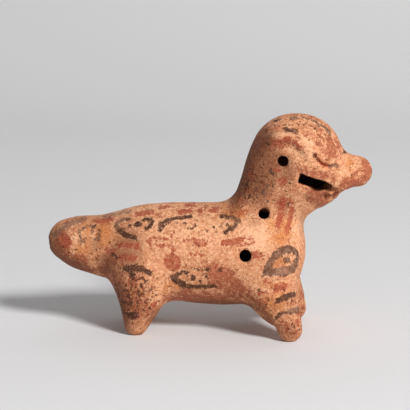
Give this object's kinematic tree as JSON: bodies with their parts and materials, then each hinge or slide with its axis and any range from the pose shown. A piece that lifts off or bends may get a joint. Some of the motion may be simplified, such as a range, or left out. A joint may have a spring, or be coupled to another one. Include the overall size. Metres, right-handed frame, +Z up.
{
  "type": "feline whistle",
  "caption": "Hollow terracotta feline whistle on four splayed legs, domed head turned forward with a slit mouth, thick stub tail, finger holes and worn black and red painted marks.",
  "frame": {"origin": "centre of the bounding box, on the plane the soles stand on", "axes": "+X towards the nose, +Y towards the animal's left side, +Z up"},
  "size_m": [0.1396, 0.0532, 0.0947],
  "materials": {
    "painted_terracotta": "matt, burnished and worn"
  },
  "bodies": {
    "root": {"whistle": "painted_terracotta"}
  },
  "joints": []
}
